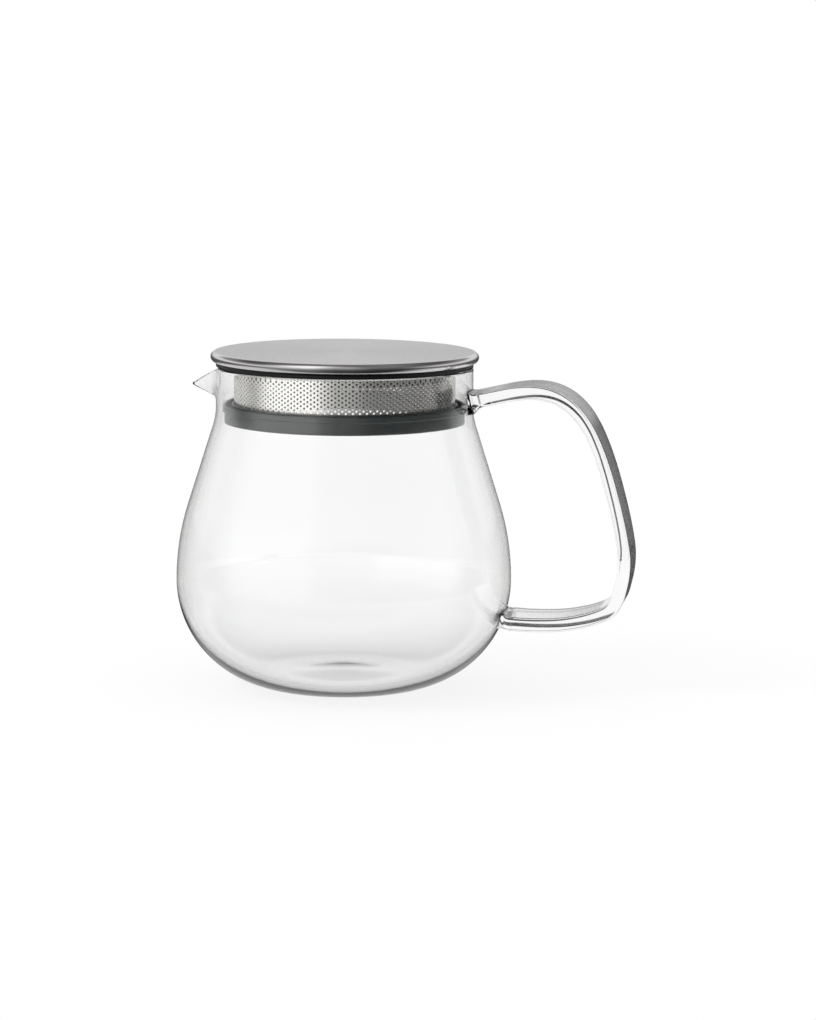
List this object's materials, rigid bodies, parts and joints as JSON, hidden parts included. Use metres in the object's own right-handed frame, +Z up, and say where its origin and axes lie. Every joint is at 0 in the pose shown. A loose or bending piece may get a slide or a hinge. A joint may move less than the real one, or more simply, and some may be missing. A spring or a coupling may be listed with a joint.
{
  "type": "glass teapot",
  "caption": "Small glass teapot with a welded strap handle, a pouring lip and a flat steel lid that carries a perforated strainer ring and a soft seal.",
  "frame": {"origin": "middle of the foot's flat, on the surface that the pot stands on", "axes": "+Z up; +X towards the handle; the pouring lip is on -X"},
  "size_m": [0.1434, 0.105, 0.1054],
  "materials": {
    "clear_glass": "clear, fire polished",
    "handle_glass": "clear, solid, fire polished",
    "lid_steel": "circular brushed top, polished edge",
    "black_plastic": "satin black",
    "strainer_steel": "fine perforated sheet",
    "seal_rubber": "soft dark grey"
  },
  "bodies": {
    "vessel": {"glass_body": "clear_glass", "handle": "handle_glass"},
    "lid": {"lid_shell": "lid_steel", "lid_core": "black_plastic", "strainer": "strainer_steel"},
    "seal": {"seal_ring": "seal_rubber"}
  },
  "joints": [
    {"name": "lid_lift", "type": "slide", "parent": "vessel", "child": "lid", "axis": [0, 0, 1], "range_m": [0, 0.045]},
    {"name": "seal_pull", "type": "slide", "parent": "lid", "child": "seal", "axis": [0, 0, -1], "range_m": [0, 0.012]}
  ]
}
